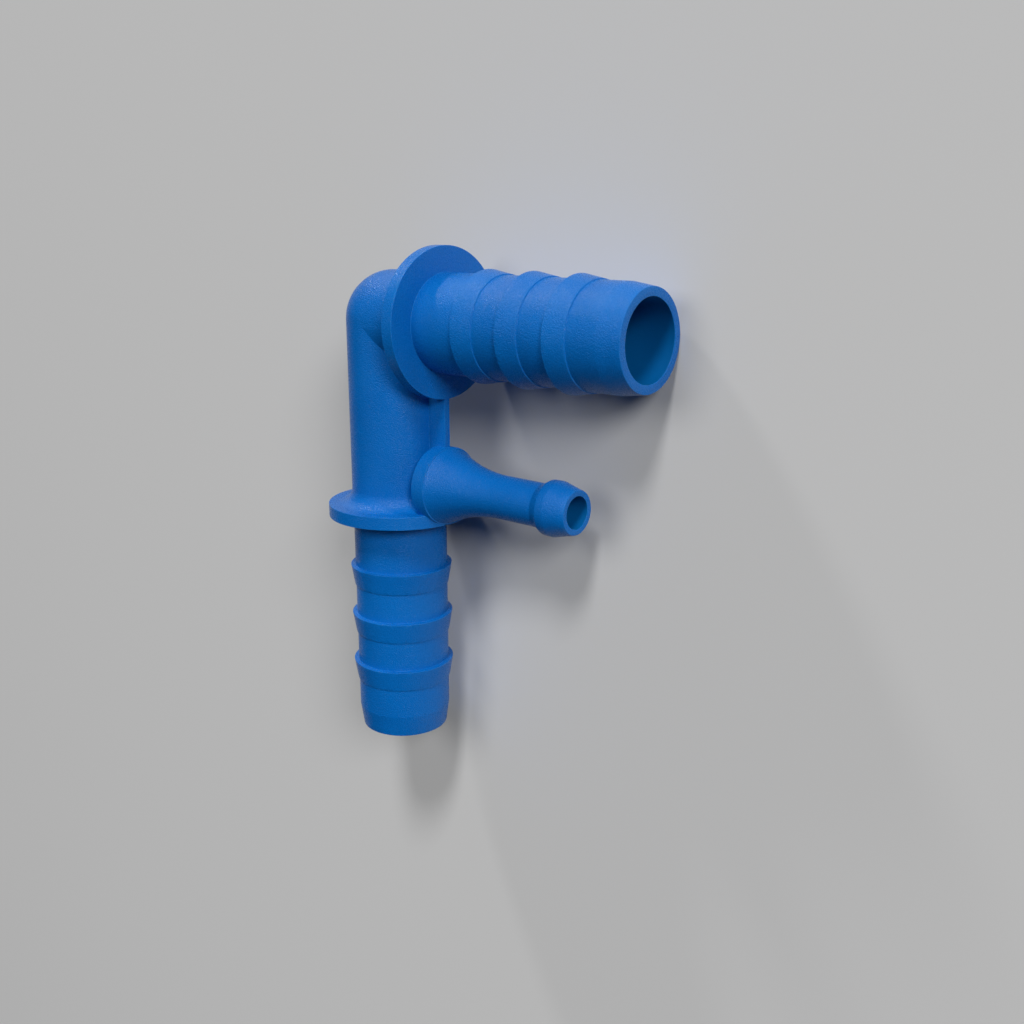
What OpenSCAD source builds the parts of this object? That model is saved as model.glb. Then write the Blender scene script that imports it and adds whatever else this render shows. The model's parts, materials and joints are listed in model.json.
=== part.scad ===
// Moulded elbow connector for two large vacuum hoses and one small hose.
// A riser and an arm of equal bore meet at a rounded corner. Each ends in a stub with three barbs.
// A flange behind each stub stops the hose, and a nipple for the small hose branches off the riser.
// The elbow is drawn upright, with the riser along Z and the arm along X, then laid down on its side.

/* [Hose stubs] */
// Outside diameter of a stub's plain lengths, the bore of the hose that goes on
root_d = 12.5; // [12:0.1:13.5]
// Diameter over the barbs
barb_d = 13.75; // [13.6:0.05:14.6]
// Diameter of a barb's cone where it rises from the plain length
barb_foot_d = 12.8; // [12.5:0.05:13.5]
// Length of a barb's cone
barb_l = 2.8; // [2:0.1:4.5]
// Number of barbs on each stub
barb_count = 3; // [1:1:3]
// Distance from one barb to the next
barb_pitch = 6.85; // [5:0.05:7]
// Distance from the mouth to the foot of the first barb
barb_start = 6.9; // [5:0.1:8]
// Outside diameter at the mouth
tip_d = 11.65; // [11:0.05:12]
// Length of the taper that leads the hose on
tip_l = 2.9; // [1.5:0.1:3.5]
// Length of a stub, from the mouth to its flange
stub_l = 30.4; // [26:0.1:36]

/* [Elbow] */
// Bore of the riser, the arm and both stubs
bore_d = 9.5; // [8:0.1:10]
// Outside diameter of the riser and the arm between the flanges
body_d = 12.65; // [12:0.05:14]
// Height of the arm's axis over the riser's mouth
arm_h = 56.3; // [54:0.1:64]
// Distance from the riser's axis to the back of the arm's flange
arm_flange_x = 7.55; // [7:0.05:12]

/* [Flanges] */
// Diameter of a flange
flange_d = 19; // [18:0.1:22]
// Thickness of a flange
flange_t = 1.7; // [1.2:0.1:2.5]
// Radius of the fillet between a flange's back and the body
fillet_r = 2; // [0.5:0.1:2.5]

/* [Nipple] */
// Height of the nipple's axis over the riser's mouth
nipple_h = 35.5; // [35:0.1:38]
// Bore of the nipple
nipple_bore_d = 4; // [2:0.1:4.2]
// Diameter of the collar at the nipple's root
collar_d = 10.15; // [9:0.05:12]
// Distance from the riser's axis to the collar's back
collar_x = 7.4; // [6.8:0.05:8]
// Thickness of the collar
collar_t = 2.05; // [1.5:0.05:3]
// Diameter of the short root between the riser and the collar
nipple_root_d = 6.2; // [5:0.1:8]
// Diameter where the flare starts on the collar's front
flare_d = 9.85; // [8:0.05:10]
// Distance from the riser's axis to the end of the flare
flare_x = 19; // [16:0.5:22]
// Diameter of the straight neck
neck_d = 5.45; // [5:0.05:6]
// Diameter over the nipple's bulb
bulb_d = 6.85; // [6.2:0.05:8]
// Distance from the riser's axis to the start of the bulb's back slope
bulb_x = 24.95; // [22:0.05:26]
// Length of the bulb's back slope
bulb_back_l = 1.35; // [0.5:0.05:2]
// Length of the bulb's straight middle
bulb_land_l = 1.05; // [0.5:0.05:3]
// Length of the taper that leads the small hose on
bulb_taper_l = 2.75; // [1:0.05:3]
// Outside diameter at the nipple's mouth
nipple_tip_d = 5.45; // [5:0.05:6.2]

/* [Web] */
// Thickness of the web in the elbow's inner corner
web_t = 0.9; // [0.6:0.1:2]
// Distance from the riser's axis to the web's free edge
web_x = 9.1; // [8:0.05:9.2]

/* [Hidden] */
$fn = 96;
// Cuts run this far past the faces they open.
past = 1;
// Wall round the large bore.
wall = (body_d - bore_d) / 2;
up = [0, 0, 1];
along = [1, 0, 0];
// Front face of the arm's flange, and the arm's mouth.
arm_stub_x = arm_flange_x + flange_t;
arm_x = arm_stub_x + stub_l;
// Middle of a flange, measured from the mouth of its stub.
flange_mid = stub_l + flange_t / 2;
// Ends of the bulb's straight middle, and the nipple's mouth.
land_start_x = bulb_x + bulb_back_l;
land_end_x = land_start_x + bulb_land_l;
nipple_x = land_end_x + bulb_taper_l;
// The flare is a circular arc that runs tangent into the neck. So large a circle takes more facets.
flare_fn = 4 * $fn;
flare_l = flare_x - collar_x - collar_t;
flare_rise = (flare_d - neck_d) / 2;
flare_r = (flare_l * flare_l + flare_rise * flare_rise) / (2 * flare_rise);

// Circular edges of a stub and its flange: distance from the mouth, and radius.
stub_edges = concat(
    [[0, tip_d / 2], [tip_l, root_d / 2]],
    [for (i = [0 : barb_count - 1]) [barb_start + i * barb_pitch + barb_l, barb_d / 2]],
    [[stub_l, flange_d / 2], [stub_l + flange_t, flange_d / 2]]
);
// Circular edges of the nipple: distance from the riser's axis, and radius.
nipple_edges = [
    [nipple_x, nipple_tip_d / 2],
    [land_end_x, bulb_d / 2],
    [land_start_x, bulb_d / 2]
];
// Every outer edge of the upright part: centre, axis and radius.
edges = concat(
    [for (e = stub_edges) [e[0] * up, up, e[1]]],
    [for (e = stub_edges) [[arm_x - e[0], 0, arm_h], along, e[1]]],
    [for (e = nipple_edges) [[e[0], 0, nipple_h], along, e[1]]]
);
corner = [0, 0, arm_h];

// How far the part reaches in the direction d.
function edge_reach(e, d) = e[0] * d + e[2] * sqrt(max(0, 1 - pow(e[1] * d, 2)));
function reach(d) = max(concat([corner * d + body_d / 2], [for (e = edges) edge_reach(e, d)]));

// Laid down, the part rests on the rims of both flanges and on the end of the arm's stub.
// The arm dips until the first edge of its stub is level with the rim of its flange.
arm_dip = min([
    for (e = stub_edges)
        if (e[0] < stub_l) atan((flange_d / 2 - e[1]) / (stub_l - e[0]))
]);
// Depth of the floor under the corner of the two axes, measured square to the arm.
floor_depth = sin(arm_dip) * arm_stub_x + cos(arm_dip) * flange_d / 2;
// The riser leans until the first edge on it comes down to the same floor.
function lean(z, r) = asin(floor_depth / norm([arm_h - z, r])) - atan2(r, arm_h - z);
riser_lean = min([for (e = stub_edges) lean(e[0], e[1])]);

// Directions of the lying part in the upright one: away from the floor, along the arm, along the riser.
off_floor_x = -sin(arm_dip);
off_floor_z = sin(riser_lean);
off_floor = [off_floor_x, -sqrt(1 - pow(off_floor_x, 2) - pow(off_floor_z, 2)), off_floor_z];
arm_way = (along - off_floor_x * off_floor) / cos(arm_dip);
riser_way = cross(off_floor, arm_way);
// The origin is on the floor, under the middle of the lying part.
shift = [
    (reach(-arm_way) - reach(arm_way)) / 2,
    (reach(-riser_way) - reach(riser_way)) / 2,
    reach(-off_floor)
];
laid_down = [
    concat(arm_way, shift[0]),
    concat(riser_way, shift[1]),
    concat(off_floor, shift[2]),
    [0, 0, 0, 1]
];

// Outline of one barb that starts at z: a cone that widens away from the mouth up to a sharp shoulder.
function barb_points(z) = [
    [root_d / 2, z],
    [barb_foot_d / 2, z],
    [barb_d / 2, z + barb_l],
    [root_d / 2, z + barb_l]
];

// Half section of a stub and its flange: radius, and distance from the mouth.
module stub_profile() {
    polygon(concat(
        [[0, 0], [tip_d / 2, 0], [root_d / 2, tip_l]],
        [for (i = [0 : barb_count - 1]) each barb_points(barb_start + i * barb_pitch)],
        [[root_d / 2, stub_l], [flange_d / 2, stub_l]],
        [[flange_d / 2, stub_l + flange_t], [0, stub_l + flange_t]]
    ));
}

// A stub along Z with its mouth at the origin, and the flange behind it.
module stub() {
    rotate_extrude()
        stub_profile();
    translate([0, 0, stub_l + flange_t])
        flange_fillet();
}

// Concave fillet from the flange's back up to the body.
module flange_fillet() {
    rotate_extrude()
        translate([body_d / 2, 0])
            difference() {
                translate([-wall / 2, -flange_t / 2])
                    square([wall / 2 + fillet_r, flange_t / 2 + fillet_r]);
                translate([fillet_r, fillet_r])
                    circle(r = fillet_r);
            }
}

// The riser, the rounded corner and the arm, up to the flanges.
module elbow() {
    translate([0, 0, flange_mid])
        cylinder(h = arm_h - flange_mid, d = body_d);
    translate(corner)
        sphere(d = body_d);
    translate(corner)
        rotate([0, 90, 0])
            cylinder(h = arm_x - flange_mid, d = body_d);
}

// Half section of the nipple's flare, which narrows along an arc from the collar's front to the neck.
module flare_profile() {
    difference() {
        translate([0, -collar_t / 2])
            square([flare_d / 2, collar_t / 2 + flare_l]);
        translate([neck_d / 2 + flare_r, flare_l])
            circle(r = flare_r, $fn = flare_fn);
    }
}

// Half section of the neck and the bulb: radius, and distance from the riser's axis.
module spout_profile() {
    polygon([
        [0, collar_x],
        [neck_d / 2, collar_x],
        [neck_d / 2, bulb_x],
        [bulb_d / 2, land_start_x],
        [bulb_d / 2, land_end_x],
        [nipple_tip_d / 2, nipple_x],
        [0, nipple_x]
    ]);
}

// The nipple along Z, with the riser's axis at the origin.
module nipple() {
    cylinder(h = collar_x + collar_t / 2, d = nipple_root_d);
    translate([0, 0, collar_x])
        cylinder(h = collar_t, d = collar_d);
    translate([0, 0, collar_x + collar_t])
        rotate_extrude()
            flare_profile();
    rotate_extrude()
        spout_profile();
}

// Thin web that stiffens the inner corner, from the riser's flange to the arm's flange.
module web() {
    in_wall = (body_d - wall) / 2;
    translate([in_wall, -web_t / 2, flange_mid])
        cube([web_x - in_wall, web_t, arm_h - in_wall - flange_mid]);
}

// The air's way: one bore round the corner, and the nipple's bore into the riser.
module passages() {
    translate([0, 0, -past])
        cylinder(h = arm_h + past, d = bore_d);
    translate(corner)
        sphere(d = bore_d);
    translate(corner)
        rotate([0, 90, 0])
            cylinder(h = arm_x + past, d = bore_d);
    translate([0, 0, nipple_h])
        rotate([0, 90, 0])
            cylinder(h = nipple_x + past, d = nipple_bore_d);
}

// The whole part upright, with the riser's mouth at the origin.
module upright() {
    difference() {
        union() {
            stub();
            translate([arm_x, 0, arm_h])
                rotate([0, -90, 0])
                    stub();
            elbow();
            translate([0, 0, nipple_h])
                rotate([0, 90, 0])
                    nipple();
            web();
        }
        passages();
    }
}

module connector() {
    color([0.04, 0.4, 0.73])
        multmatrix(laid_down)
            upright();
}

connector();
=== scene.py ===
# %% [markdown]
# # Vacuum hose connector
#
# The object is an elbow for vacuum hose, moulded in one piece from blue plastic. Its riser and its
# arm each end in a stub with three barbs, a flange stops each hose, and a small nipple branches off
# the riser. The imported model already has the true shape, bores and all, so nothing is built twice
# here. What a solid model leaves out is what this script adds: the small radius that a mould leaves
# on each edge, the grain of the plastic, the smoother finish in the bores with painted shade in
# their darker blue, light and a camera.

# %% Load the imported model
import json
import math

import bpy
from mathutils import Matrix, Vector


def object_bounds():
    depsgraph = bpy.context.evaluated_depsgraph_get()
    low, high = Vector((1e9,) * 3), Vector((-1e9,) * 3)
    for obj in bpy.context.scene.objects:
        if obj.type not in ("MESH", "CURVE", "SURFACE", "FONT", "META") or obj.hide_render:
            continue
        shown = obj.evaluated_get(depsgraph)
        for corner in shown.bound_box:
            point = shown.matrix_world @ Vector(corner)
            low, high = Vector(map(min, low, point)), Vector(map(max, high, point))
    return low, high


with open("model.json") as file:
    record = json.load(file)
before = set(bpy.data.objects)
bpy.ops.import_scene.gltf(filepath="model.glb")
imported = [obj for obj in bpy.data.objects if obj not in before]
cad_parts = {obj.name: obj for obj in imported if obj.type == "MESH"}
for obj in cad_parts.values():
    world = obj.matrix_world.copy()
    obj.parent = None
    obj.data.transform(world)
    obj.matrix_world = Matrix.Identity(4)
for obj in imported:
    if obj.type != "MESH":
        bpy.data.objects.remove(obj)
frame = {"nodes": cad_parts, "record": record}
cad_low, cad_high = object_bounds()
connector = frame["nodes"]["connector"]
scene = bpy.context.scene
MM = 0.001
print("packed model, mm:", [round(side / MM, 1) for side in cad_high - cad_low])

# %% [markdown]
# ## Directions of the upright part
#
# The part can't stand on the mouth of its riser, so it lies on the rims of both flanges and on the
# end of its arm. It is still easiest to think of it upright, with the riser vertical and the arm
# pointing along. The record says where each bore's mouth is and which way it faces, and three
# directions follow from two of them. Where this script says up, along or across, it means these,
# and no angle is typed in twice.

# %% Find the directions of the upright part
mounts = {mount["name"]: mount for mount in frame["record"]["mounts"]}
riser_mouth = Vector(mounts["riser_bore"]["pos_m"])
up = -Vector(mounts["riser_bore"]["axis"]).normalized()
along = Vector(mounts["arm_bore"]["axis"])
along = (along - along.dot(up) * up).normalized()
across = up.cross(along)
upright = Matrix((along, across, up)).transposed()
print("up", tuple(up), "along", tuple(along))

# %% [markdown]
# ## Camera
#
# A camera is placed either by hand in the viewport or by numbers. Numbers are better when a view
# has to be met exactly: a heading and a pitch for the way it looks, and a place measured from the
# mouth of the riser. Because both are given for the upright part, the view stays the same whichever
# way the part lies. Here it looks down on the floor that the part lies on.

# %% Place the camera
HEADING = math.radians(130.7)
PITCH = math.radians(15)
CAMERA_OFFSET = Vector((107.2, -101.4, 69.7)) * MM

view_way = upright @ Vector((
    math.cos(HEADING) * math.cos(PITCH),
    math.sin(HEADING) * math.cos(PITCH),
    -math.sin(PITCH),
))
right_way = view_way.cross(up).normalized()
top_way = right_way.cross(view_way)

camera_data = bpy.data.cameras.new("camera")
camera_data.sensor_width = 32
camera_data.lens = 35
camera_data.clip_start = 5 * MM
camera = bpy.data.objects.new("camera", camera_data)
camera.location = riser_mouth + upright @ CAMERA_OFFSET
camera.rotation_mode = "QUATERNION"
camera.rotation_quaternion = Matrix((right_way, top_way, -view_way)).transposed().to_quaternion()
scene.collection.objects.link(camera)
scene.camera = camera
print("camera at", tuple(camera.location))

# %% [markdown]
# ## Node helpers
#
# Materials and modifiers made of nodes can be drawn in the editor or written down. Written down,
# most of the work is the same two steps, again and again: make a node, then fill in or link its
# inputs. One helper does both, and the short ones after it are the nodes that are needed most. The
# last one makes a node group with named sockets, so that an effect is built once and used in every
# material that needs it.

# %% Helpers for single nodes
def add(tree, kind, inputs=None, **settings):
    """Adds a node with its settings, and links or fills its inputs. Returns the new node."""
    made = tree.nodes.new(kind)
    for name, value in settings.items():
        setattr(made, name, value)
    for socket, value in (inputs or {}).items():
        if isinstance(value, bpy.types.NodeSocket):
            tree.links.new(value, made.inputs[socket])
        else:
            made.inputs[socket].default_value = value
    return made


def calculate(tree, operation, first, second=0.0):
    """One Math node. Returns its value."""
    return add(tree, "ShaderNodeMath", {0: first, 1: second}, operation=operation).outputs[0]


def combine(tree, operation, first, second, gives="Vector"):
    """One Vector Math node with two vectors. Returns its vector, or its number as "Value"."""
    made = add(tree, "ShaderNodeVectorMath", {0: first, 1: second}, operation=operation)
    return made.outputs[gives]


def stretch(tree, value, low, high, new_low=0.0, new_high=1.0):
    """One Map Range node. What ran from low to high then runs from new_low to new_high."""
    return add(tree, "ShaderNodeMapRange", {
        "Value": value, "From Min": low, "From Max": high, "To Min": new_low, "To Max": new_high,
    }).outputs[0]


def mix_colours(tree, share, first, second):
    """One Mix node. Its two colours come in at sockets 6 and 7, and the mixture goes out at 2."""
    made = add(tree, "ShaderNodeMix", {"Factor": share, 6: first, 7: second}, data_type="RGBA")
    return made.outputs[2]


print("node helpers ready")

# %% Helper for node groups
FLOAT = "NodeSocketFloat"
VECTOR = "NodeSocketVector"
COLOUR = "NodeSocketColor"
GEOMETRY = "NodeSocketGeometry"


def new_group(name, kind, takes, gives):
    """A node group with named sockets. Returns it, what comes in, and where results go."""
    group = bpy.data.node_groups.new(name, kind)
    for socket, socket_kind in takes.items():
        group.interface.new_socket(socket, in_out="INPUT", socket_type=socket_kind)
    for socket, socket_kind in gives.items():
        group.interface.new_socket(socket, in_out="OUTPUT", socket_type=socket_kind)
    given = group.nodes.new("NodeGroupInput").outputs
    result = group.nodes.new("NodeGroupOutput").inputs
    return group, given, result


print("group helper ready")

# %% [markdown]
# ## Mould grain
#
# A matte mould isn't sanded. Sparks erode its steel, and the plastic copies the tiny pits, a tenth
# or two of a millimetre across. They scatter the highlight into a fine glitter. Displacing the mesh
# that finely would take millions of faces, so the grain is a height for a Bump node. Two textures
# are laid over each other: the pits themselves, and a finer roughness inside them. A noise texture
# keeps close to its middle, so it is stretched to run from 0 to 1 before it becomes a height. The
# Bump node's distance is then about the real depth of the pits.

# %% Group: the pits that spark erosion leaves
NOISE_LOW = 0.3
NOISE_HIGH = 0.7
PIT_SHARE = 0.8
FINE_SHARE = 0.3
FINE_PER_PIT = 2.7
# The heights where the plastic is smoothest and roughest.
SMOOTHEST = 0.1
ROUGHEST = 0.9


def make_mould_grain():
    group, given, result = new_group(
        "mould_grain", "ShaderNodeTree",
        {"Pit Size": FLOAT}, {"Height": FLOAT, "Roughness Change": FLOAT},
    )
    place = add(group, "ShaderNodeTexCoord").outputs["Object"]
    density = calculate(group, "DIVIDE", 1.0, given["Pit Size"])
    pits = add(group, "ShaderNodeTexNoise", {"Vector": place, "Scale": density, "Detail": 1.0})
    finer = calculate(group, "MULTIPLY", density, FINE_PER_PIT)
    fine = add(group, "ShaderNodeTexVoronoi", {"Vector": place, "Scale": finer}, feature="F1")
    full_range = stretch(group, pits.outputs[0], NOISE_LOW, NOISE_HIGH)
    pit_height = calculate(group, "MULTIPLY", full_range, PIT_SHARE)
    fine_height = calculate(group, "MULTIPLY", fine.outputs["Distance"], FINE_SHARE)
    height = calculate(group, "ADD", pit_height, fine_height)
    group.links.new(height, result["Height"])
    change = stretch(group, height, SMOOTHEST, ROUGHEST, -0.5, 0.5)
    group.links.new(change, result["Roughness Change"])
    return group


mould_grain = make_mould_grain()
print("node group", mould_grain.name)

# %% [markdown]
# ## Pigment drift
#
# Colour comes into such plastic as a few percent of blue pellets, melted in with the rest. They mix
# well but never perfectly, so a large even face drifts by a few percent between a slightly deeper
# and a slightly paler blue. A soft noise some millimetres across picks between two blues.

# %% Group: a colour that drifts between two blues
def make_pigment_drift():
    group, given, result = new_group(
        "pigment_drift", "ShaderNodeTree",
        {"Deeper": COLOUR, "Paler": COLOUR, "Cloud Size": FLOAT}, {"Color": COLOUR},
    )
    place = add(group, "ShaderNodeTexCoord").outputs["Object"]
    density = calculate(group, "DIVIDE", 1.0, given["Cloud Size"])
    clouds = add(group, "ShaderNodeTexNoise", {"Vector": place, "Scale": density, "Detail": 4.0})
    share = stretch(group, clouds.outputs[0], NOISE_LOW, NOISE_HIGH)
    mixed = mix_colours(group, share, given["Deeper"], given["Paler"])
    group.links.new(mixed, result["Color"])
    return group


pigment_drift = make_pigment_drift()
print("node group", pigment_drift.name)

# %% [markdown]
# ## Rubbed edges and painted edge highlights
#
# Loose parts rub against each other in a bag, and their edges turn a trace paler and smoother. The
# paler blue along the edges also serves as a painted highlight, a thin line of light painted along
# each edge. Such a mask could be painted, but it can also be found: the Bevel node gives the normal
# that a rounder edge would have, and where that turns away from the true normal, there is an edge.
# The dot product of the two is 1 where they agree and falls as they part. A noise breaks the line
# up, because rubbing is never even.

# %% Group: a mask of the edges
EDGE_STARTS = 0.995
EDGE_FULL = 0.90
PATCHES_PER_METRE = 700.0
PATCH_LOW = 0.38
PATCH_HIGH = 0.62


def make_edge_rub_and_highlight():
    group, given, result = new_group(
        "edge_rub_and_highlight", "ShaderNodeTree", {"Width": FLOAT}, {"Mask": FLOAT}
    )
    true_normal = add(group, "ShaderNodeNewGeometry").outputs["Normal"]
    rounder = add(group, "ShaderNodeBevel", {"Radius": given["Width"]}, samples=4).outputs[0]
    alike = combine(group, "DOT_PRODUCT", true_normal, rounder, gives="Value")
    edge = stretch(group, alike, EDGE_STARTS, EDGE_FULL)
    place = add(group, "ShaderNodeTexCoord").outputs["Object"]
    patches = add(group, "ShaderNodeTexNoise", {
        "Vector": place, "Scale": PATCHES_PER_METRE, "Detail": 3.0,
    })
    patchy = stretch(group, patches.outputs[0], PATCH_LOW, PATCH_HIGH)
    mask = calculate(group, "MULTIPLY", edge, patchy)
    group.links.new(mask, result["Mask"])
    return group


edge_rub_and_highlight = make_edge_rub_and_highlight()
print("node group", edge_rub_and_highlight.name)

# %% [markdown]
# ## Draw marks
#
# A bore is shaped by a polished steel pin that is pulled out while the plastic is still warm. The
# pull leaves faint straight marks along the bore. A noise becomes such marks when its coordinates
# are squeezed in the direction of the pull. The riser's bore runs up and the other two run along,
# so the group turns the place into the upright part's directions and squeezes one or the other.

# %% Group: faint marks along the bores
SQUEEZE = 0.02


def make_draw_marks():
    group, given, result = new_group(
        "draw_marks", "ShaderNodeTree",
        {"Mark Size": FLOAT, "Bore Radius": FLOAT}, {"Height": FLOAT},
    )
    place = add(group, "ShaderNodeTexCoord").outputs["Object"]
    from_mouth = combine(group, "SUBTRACT", place, riser_mouth)
    measured = {
        name: combine(group, "DOT_PRODUCT", from_mouth, way, gives="Value")
        for name, way in {"X": along, "Y": across, "Z": up}.items()
    }
    density = calculate(group, "DIVIDE", 1.0, given["Mark Size"])
    heights = []
    for pulled in ("Z", "X"):
        parts = {
            name: calculate(group, "MULTIPLY", value, SQUEEZE if name == pulled else 1.0)
            for name, value in measured.items()
        }
        squeezed = add(group, "ShaderNodeCombineXYZ", parts).outputs[0]
        noise = add(group, "ShaderNodeTexNoise", {
            "Vector": squeezed, "Scale": density, "Detail": 2.0,
        })
        heights.append(noise.outputs[0])
    in_arm = calculate(group, "GREATER_THAN", measured["X"], given["Bore Radius"])
    # A Mix node takes its two plain numbers at sockets 2 and 3.
    chosen = add(group, "ShaderNodeMix", {"Factor": in_arm, 2: heights[0], 3: heights[1]})
    group.links.new(chosen.outputs[0], result["Height"])
    return group


draw_marks = make_draw_marks()
print("node group", draw_marks.name)

# %% [markdown]
# ## Two finishes of one plastic
#
# Outside and inside are the same blue plastic, so both materials take their colour from the same
# drift and their highlight from the same grain. They differ in how strong the grain is and in how
# even the highlight is. The bores are also given a darker blue, which is painted shade for the dim
# light deep inside them. Each number that holds all over a surface is set on the shader itself.

# %% Shared start of a plastic material
DEEP_BLUE = (0.0008, 0.131, 0.485, 1)
PALE_BLUE = (0.0014, 0.154, 0.545, 1)
# Darker blues for the bores: painted shade where little light reaches inside them.
DEEP_BORE_BLUE_PAINTED_SHADE = (0.0006, 0.100, 0.315, 1)
PALE_BORE_BLUE_PAINTED_SHADE = (0.0010, 0.116, 0.355, 1)
# Paler blue for the edges: rubbed wear, and also a painted highlight line along each edge.
RUBBED_AND_HIGHLIGHT_BLUE = (0.020, 0.235, 0.640, 1)
CLOUD_SIZE = 9 * MM
RUB_AND_HIGHLIGHT_WIDTH = 0.25 * MM
# The change in roughness where rubbing has its full share.
RUB_POLISH = -0.25
REFRACTION = 1.49
SPECULAR = 0.22


def place_group(tree, group, inputs):
    """Puts a node group into a material, with its own values."""
    return add(tree, "ShaderNodeGroup", inputs, node_tree=group)


def start_plastic(name, deeper, paler, roughness, roughness_swing, pit_size, grain_depth, rub_and_highlight_share):
    """A plastic with drift, grain and paler edges of wear and painted highlight. Returns it and its
    Bump node.
    """
    material = bpy.data.materials.new(name)
    material.use_nodes = True
    tree = material.node_tree
    shader = tree.nodes["Principled BSDF"]
    shader.inputs["IOR"].default_value = REFRACTION
    shader.inputs["Specular IOR Level"].default_value = SPECULAR

    drift = place_group(tree, pigment_drift, {
        "Deeper": deeper, "Paler": paler, "Cloud Size": CLOUD_SIZE,
    })
    edge_wear_and_highlight = place_group(tree, edge_rub_and_highlight, {"Width": RUB_AND_HIGHLIGHT_WIDTH})
    share = calculate(tree, "MULTIPLY", edge_wear_and_highlight.outputs["Mask"], rub_and_highlight_share)
    # The edges turn paler: wear, together with a painted highlight.
    colour = mix_colours(tree, share, drift.outputs["Color"], RUBBED_AND_HIGHLIGHT_BLUE)
    tree.links.new(colour, shader.inputs["Base Color"])

    grain = place_group(tree, mould_grain, {"Pit Size": pit_size})
    swing = calculate(tree, "MULTIPLY", grain.outputs["Roughness Change"], roughness_swing)
    polish = calculate(tree, "MULTIPLY", share, RUB_POLISH)
    change = calculate(tree, "ADD", swing, polish)
    tree.links.new(calculate(tree, "ADD", change, roughness), shader.inputs["Roughness"])

    bump = add(tree, "ShaderNodeBump", {
        "Height": grain.outputs["Height"], "Strength": 1.0, "Distance": grain_depth,
    })
    tree.links.new(bump.outputs[0], shader.inputs["Normal"])
    return material, bump


print("colours of the plastic ready")

# %% Material: the matte outside
moulded_blue, outside_bump = start_plastic(
    "moulded_blue", DEEP_BLUE, PALE_BLUE, roughness=0.26, roughness_swing=0.28,
    pit_size=0.16 * MM, grain_depth=0.042 * MM, rub_and_highlight_share=0.35,
)
outside_depth = outside_bump.inputs["Distance"].default_value
print("material", moulded_blue.name, "with pits of", round(outside_depth / MM, 3), "mm")

# %% Material: the smoother bores, in the darker blue of painted shade
MARK_SIZE = 0.35 * MM
MARK_DEPTH = 0.006 * MM

core_pin_finish_and_painted_shade, bore_bump = start_plastic(
    "core_pin_finish_and_painted_shade", DEEP_BORE_BLUE_PAINTED_SHADE, PALE_BORE_BLUE_PAINTED_SHADE, roughness=0.36, roughness_swing=0.10,
    pit_size=0.5 * MM, grain_depth=0.004 * MM, rub_and_highlight_share=0.2,
)
pin_tree = core_pin_finish_and_painted_shade.node_tree
marks = place_group(pin_tree, draw_marks, {
    "Mark Size": MARK_SIZE, "Bore Radius": mounts["riser_bore"]["dims"]["r_mm"] * MM,
})
marked = add(pin_tree, "ShaderNodeBump", {
    "Height": marks.outputs["Height"], "Strength": 1.0, "Distance": MARK_DEPTH,
    "Normal": bore_bump.outputs[0],
})
pin_tree.links.new(marked.outputs[0], pin_tree.nodes["Principled BSDF"].inputs["Normal"])
print("material", core_pin_finish_and_painted_shade.name, "with marks of", round(MARK_DEPTH / MM, 3), "mm")

# %% [markdown]
# ## Which faces lie in a bore
#
# The bores take the second material. Picking their faces by hand would break at the next change of
# the model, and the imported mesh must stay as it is. Geometry nodes run after the mesh and can pick
# the faces by measuring: a face lies in a bore if it is no further from the bore's axis than the
# bore's radius. The axis is only as long as the bore, so past its end the distance is taken from
# its last point. That suits the corner, where the bores have a round end. One group asks this for
# one bore.

# %% Group: is this face in the bore
BORE_SLACK = 0.03 * MM


def make_bore_finder():
    group, given, result = new_group(
        "bore_finder", "GeometryNodeTree",
        {"Mouth": VECTOR, "Way Out": VECTOR, "Radius": FLOAT, "Length": FLOAT}, {"Inside": FLOAT},
    )
    place = add(group, "GeometryNodeInputPosition").outputs[0]
    to_face = combine(group, "SUBTRACT", place, given["Mouth"])
    way_out = combine(group, "DOT_PRODUCT", to_face, given["Way Out"], gives="Value")
    # The axis ends where the bore does, so past its end the nearest point stays there.
    end = calculate(group, "MULTIPLY", given["Length"], -1.0)
    reached = calculate(group, "MAXIMUM", way_out, end)
    nearest = add(
        group, "ShaderNodeVectorMath", {0: given["Way Out"], "Scale": reached}, operation="SCALE"
    ).outputs["Vector"]
    off_axis = combine(group, "DISTANCE", to_face, nearest, gives="Value")
    widest = calculate(group, "ADD", given["Radius"], BORE_SLACK)
    inside = calculate(group, "LESS_THAN", off_axis, widest)
    group.links.new(inside, result["Inside"])
    return group


bore_finder = make_bore_finder()
print("node group", bore_finder.name)

# %% [markdown]
# ## The radius that a mould leaves on every edge
#
# No moulded edge is perfectly sharp, and the thin line of light along it is what tells the eye so.
# Blender's Bevel modifier rounds edges, but it has to know which. An angle can't tell it here: the
# taper at a mouth meets the stub at a shallower angle than two facets of a small round do. The
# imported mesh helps, because it is split wherever two surfaces of the solid meet. A short node tree
# marks the split edges, joins the mesh again, and keeps the marks on edges that really turn. The
# Bevel modifier rounds those, and Weighted Normal keeps the large faces smooth beside the narrow
# ones. On its way, the same tree gives the faces in the bores their own material.

# %% Helpers: values on edges, faces in bores
bores = [mount for mount in mounts.values() if mount["kind"] == "bore"]


def mark_edges(tree, geometry, name, value):
    """Keeps a value on every edge under a name. Returns the geometry."""
    return add(tree, "GeometryNodeStoreNamedAttribute", {
        "Geometry": geometry, "Name": name, "Value": value,
    }, data_type="FLOAT", domain="EDGE").outputs[0]


def find_bores(tree):
    """Says of each face whether it lies in any of the record's bores."""
    inside = None
    for bore in bores:
        found = add(tree, "GeometryNodeGroup", {
            "Mouth": bore["pos_m"], "Way Out": bore["axis"],
            "Radius": bore["dims"]["r_mm"] * MM, "Length": bore["dims"]["length_mm"] * MM,
        }, node_tree=bore_finder).outputs["Inside"]
        inside = found if inside is None else calculate(tree, "MAXIMUM", inside, found)
    return inside


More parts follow.
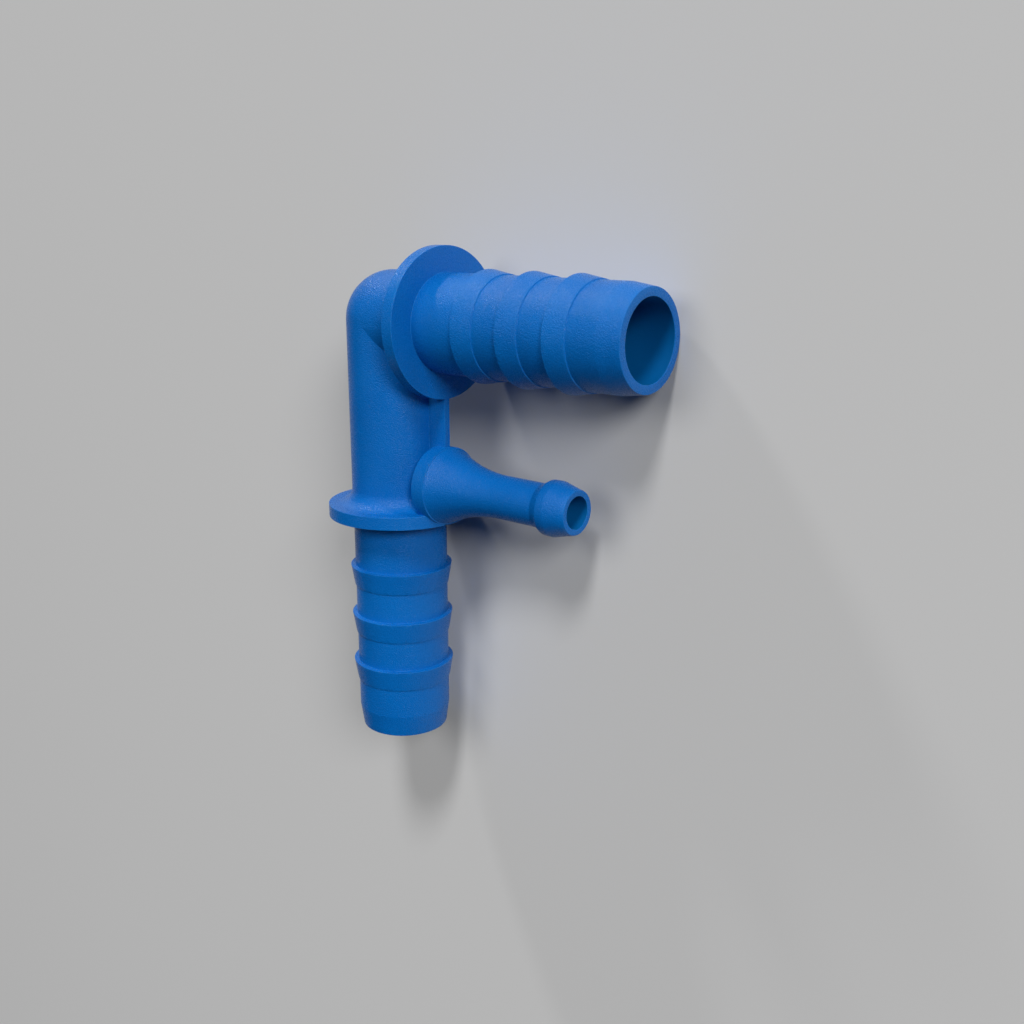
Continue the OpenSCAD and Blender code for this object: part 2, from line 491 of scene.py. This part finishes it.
print("bores", [bore["name"] for bore in bores])

# %% Modifier: mark the creases and the bores
CREASE = math.radians(7)
JOIN_REACH = 0.03 * MM
MARK = "split"
BEVEL_WEIGHT = "bevel_weight_edge"
BORE_SLOT = 1


def make_crease_finder():
    tree, given, result = new_group(
        "crease_finder", "GeometryNodeTree", {"Geometry": GEOMETRY}, {"Geometry": GEOMETRY}
    )
    faces_beside = add(tree, "GeometryNodeInputMeshEdgeNeighbors").outputs[0]
    split = calculate(tree, "LESS_THAN", faces_beside, 2.0)
    with_mark = mark_edges(tree, given["Geometry"], MARK, split)
    joined = add(tree, "GeometryNodeMergeByDistance", {
        "Geometry": with_mark, "Distance": JOIN_REACH,
    }).outputs[0]

    turn = add(tree, "GeometryNodeInputMeshEdgeAngle").outputs["Unsigned Angle"]
    turns = calculate(tree, "GREATER_THAN", turn, CREASE)
    was_split = add(
        tree, "GeometryNodeInputNamedAttribute", {"Name": MARK}, data_type="FLOAT"
    ).outputs["Attribute"]
    crease = calculate(tree, "MULTIPLY", was_split, turns)
    weighted = mark_edges(tree, joined, BEVEL_WEIGHT, crease)

    finished = add(tree, "GeometryNodeSetMaterialIndex", {
        "Geometry": weighted, "Selection": find_bores(tree), "Material Index": BORE_SLOT,
    })
    tree.links.new(finished.outputs[0], result["Geometry"])
    return tree


connector.data.materials[0] = moulded_blue
connector.data.materials.append(core_pin_finish_and_painted_shade)
connector.modifiers.new("creases", "NODES").node_group = make_crease_finder()
print("creases turn by more than", round(math.degrees(CREASE)), "degrees")

# %% Modifiers: round the creases
EDGE_RADIUS = 0.06 * MM
EDGE_STEPS = 3
LARGE_FACE_WEIGHT = 80

rounding = connector.modifiers.new("edge_radius", "BEVEL")
rounding.limit_method = "WEIGHT"
rounding.edge_weight = BEVEL_WEIGHT
rounding.width = EDGE_RADIUS
rounding.segments = EDGE_STEPS
rounding.use_clamp_overlap = False
smoothing = connector.modifiers.new("even_shading", "WEIGHTED_NORMAL")
smoothing.weight = LARGE_FACE_WEIGHT

evaluated = connector.evaluated_get(bpy.context.evaluated_depsgraph_get())
mesh = evaluated.to_mesh()
in_bores = sum(polygon.material_index == BORE_SLOT for polygon in mesh.polygons)
print("faces with rounded edges", len(mesh.polygons), "of them in the bores", in_bores)
evaluated.to_mesh_clear()

# %% [markdown]
# ## Floor
#
# A pale, plain floor shows the outline and throws a little light back at the underside. It is one
# large square, far wider than the camera's view.

# %% Floor
FLOOR_REACH = 3.0
FLOOR_GREY = 0.66
FLOOR_ROUGHNESS = 0.8

floor_mesh = bpy.data.meshes.new("floor")
floor_mesh.from_pydata(
    [(x * FLOOR_REACH, y * FLOOR_REACH, 0) for x, y in ((-1, -1), (1, -1), (1, 1), (-1, 1))],
    [], [(0, 1, 2, 3)],
)
floor = bpy.data.objects.new("floor", floor_mesh)
scene.collection.objects.link(floor)
pale_floor = bpy.data.materials.new("pale_floor")
pale_floor.use_nodes = True
floor_shader = pale_floor.node_tree.nodes["Principled BSDF"]
floor_shader.inputs["Base Color"].default_value = (FLOOR_GREY, FLOOR_GREY, FLOOR_GREY, 1)
floor_shader.inputs["Roughness"].default_value = FLOOR_ROUGHNESS
floor_mesh.materials.append(pale_floor)
print("floor", 2 * FLOOR_REACH, "m wide")

# %% [markdown]
# ## Light
#
# Small matte parts are lit with large soft lamps, because a small lamp would leave one hard spot of
# light on every curve. Four round lamps share the work. In the camera's view the key stands above
# the arm and shapes the part, a lower one past the elbow draws the bright line along the arm, where
# the grain glitters, and one on the right opens the mouths. The fourth hangs overhead and softens
# the shadows. All are far away, so that the floor is lit evenly. What counts for softness is how
# wide a lamp looks from the part, so each is given by that angle.

# %% Lamps
LAMP_DISTANCE = 6.0
part_middle = (cad_low + cad_high) / 2


def add_lamp(name, way, seen_angle, watts):
    """A round lamp in the given direction that looks seen_angle degrees wide from the part."""
    data = bpy.data.lights.new(name, "AREA")
    data.shape = "DISK"
    data.size = 2 * LAMP_DISTANCE * math.tan(math.radians(seen_angle / 2))
    data.energy = watts
    lamp = bpy.data.objects.new(name, data)
    lamp.location = part_middle + way.normalized() * LAMP_DISTANCE
    lamp.rotation_mode = "QUATERNION"
    lamp.rotation_quaternion = way.to_track_quat("Z", "Y")
    lamp.visible_camera = False
    scene.collection.objects.link(lamp)


add_lamp("key", Vector((0.28, 0.80, 0.52)), seen_angle=13, watts=168)
add_lamp("edge", Vector((-0.60, 0.78, 0.18)), seen_angle=7, watts=102)
add_lamp("right", Vector((0.80, 0.42, 0.44)), seen_angle=18, watts=176)
add_lamp("overhead", Vector((-0.12, 0.34, 0.93)), seen_angle=30, watts=78)

# %% [markdown]
# ## Room
#
# A world that shines from all sides would lift every shadow. This one adds hardly any light, so
# that undersides keep their depth. In a low view the camera sees past the floor's edge, and a dark
# wall there would look odd, so a Light Path node shows the camera a grey like the floor's.

# %% The room
ROOM_LIGHT = 0.02
ROOM_GREY = 0.40

room = bpy.data.worlds.new("room")
room.use_nodes = True
room_tree = room.node_tree
seen_directly = add(room_tree, "ShaderNodeLightPath").outputs["Is Camera Ray"]
strength = stretch(room_tree, seen_directly, 0.0, 1.0, ROOM_LIGHT, ROOM_GREY)
room_light = room_tree.nodes["Background"]
room_light.inputs["Color"].default_value = (1, 1, 1, 1)
room_tree.links.new(strength, room_light.inputs["Strength"])
scene.world = room
scene.view_settings.view_transform = "Standard"
print("room light", ROOM_LIGHT, "and the grey that the camera sees", ROOM_GREY)
